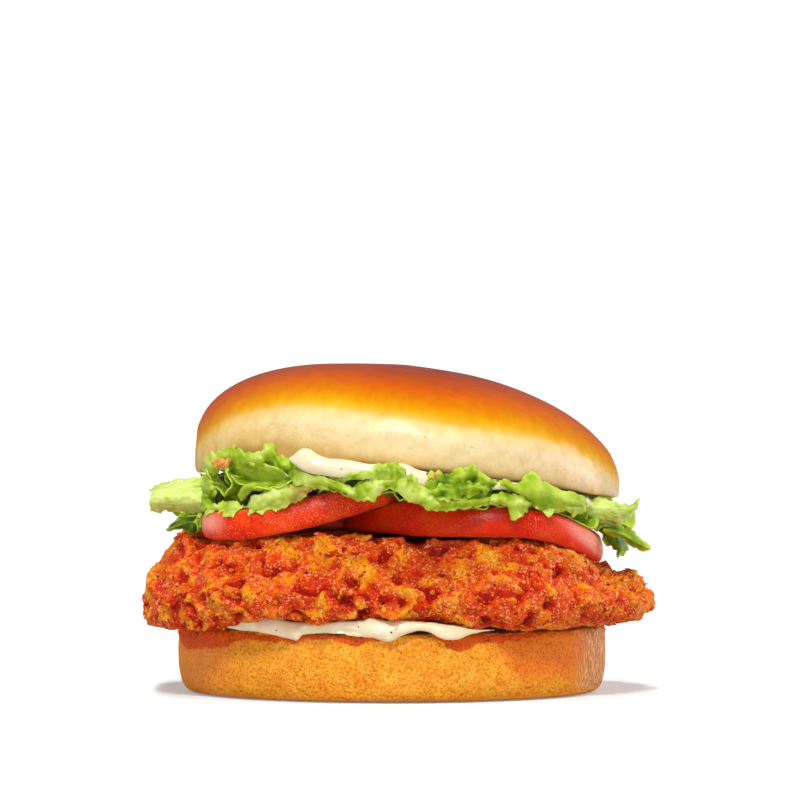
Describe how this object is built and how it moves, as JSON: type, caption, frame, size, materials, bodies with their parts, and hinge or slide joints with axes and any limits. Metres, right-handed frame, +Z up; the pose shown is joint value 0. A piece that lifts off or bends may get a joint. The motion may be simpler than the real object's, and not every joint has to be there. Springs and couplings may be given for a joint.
{
  "type": "chicken burger",
  "caption": "Fried chicken burger: craggy breaded fillet with tomato slices, ruffled leaf lettuce and mayonnaise in a soft domed bun, stacked and slightly leaning.",
  "frame": {"origin": "middle of the bun heel's flat underside", "axes": "+Z up, -Y is the front that shows both tomato slices, +X to the right of someone who looks at the front"},
  "size_m": [0.1249, 0.111, 0.0805],
  "materials": {
    "bun_heel_crust": "matte, finely porous golden crust, darker at its upper edge",
    "bun_crown_crust": "glazed brown top that fades through orange to a pale cream side",
    "fried_breading": "craggy, oily, red-orange with golden crests and pepper specks",
    "tomato": "wet, glossy red skin",
    "lettuce_leaf": "thin, waxy, light to mid green with pale ribs",
    "mayonnaise": "glossy cream sauce with pepper specks"
  },
  "bodies": {
    "root": {"bun_heel": "bun_heel_crust", "mayonnaise_lower": "mayonnaise", "chicken_fillet": "fried_breading", "tomato_slice_right": "tomato", "tomato_slice_left": "tomato", "lettuce": "lettuce_leaf", "mayonnaise_upper": "mayonnaise", "bun_crown": "bun_crown_crust"}
  },
  "joints": []
}
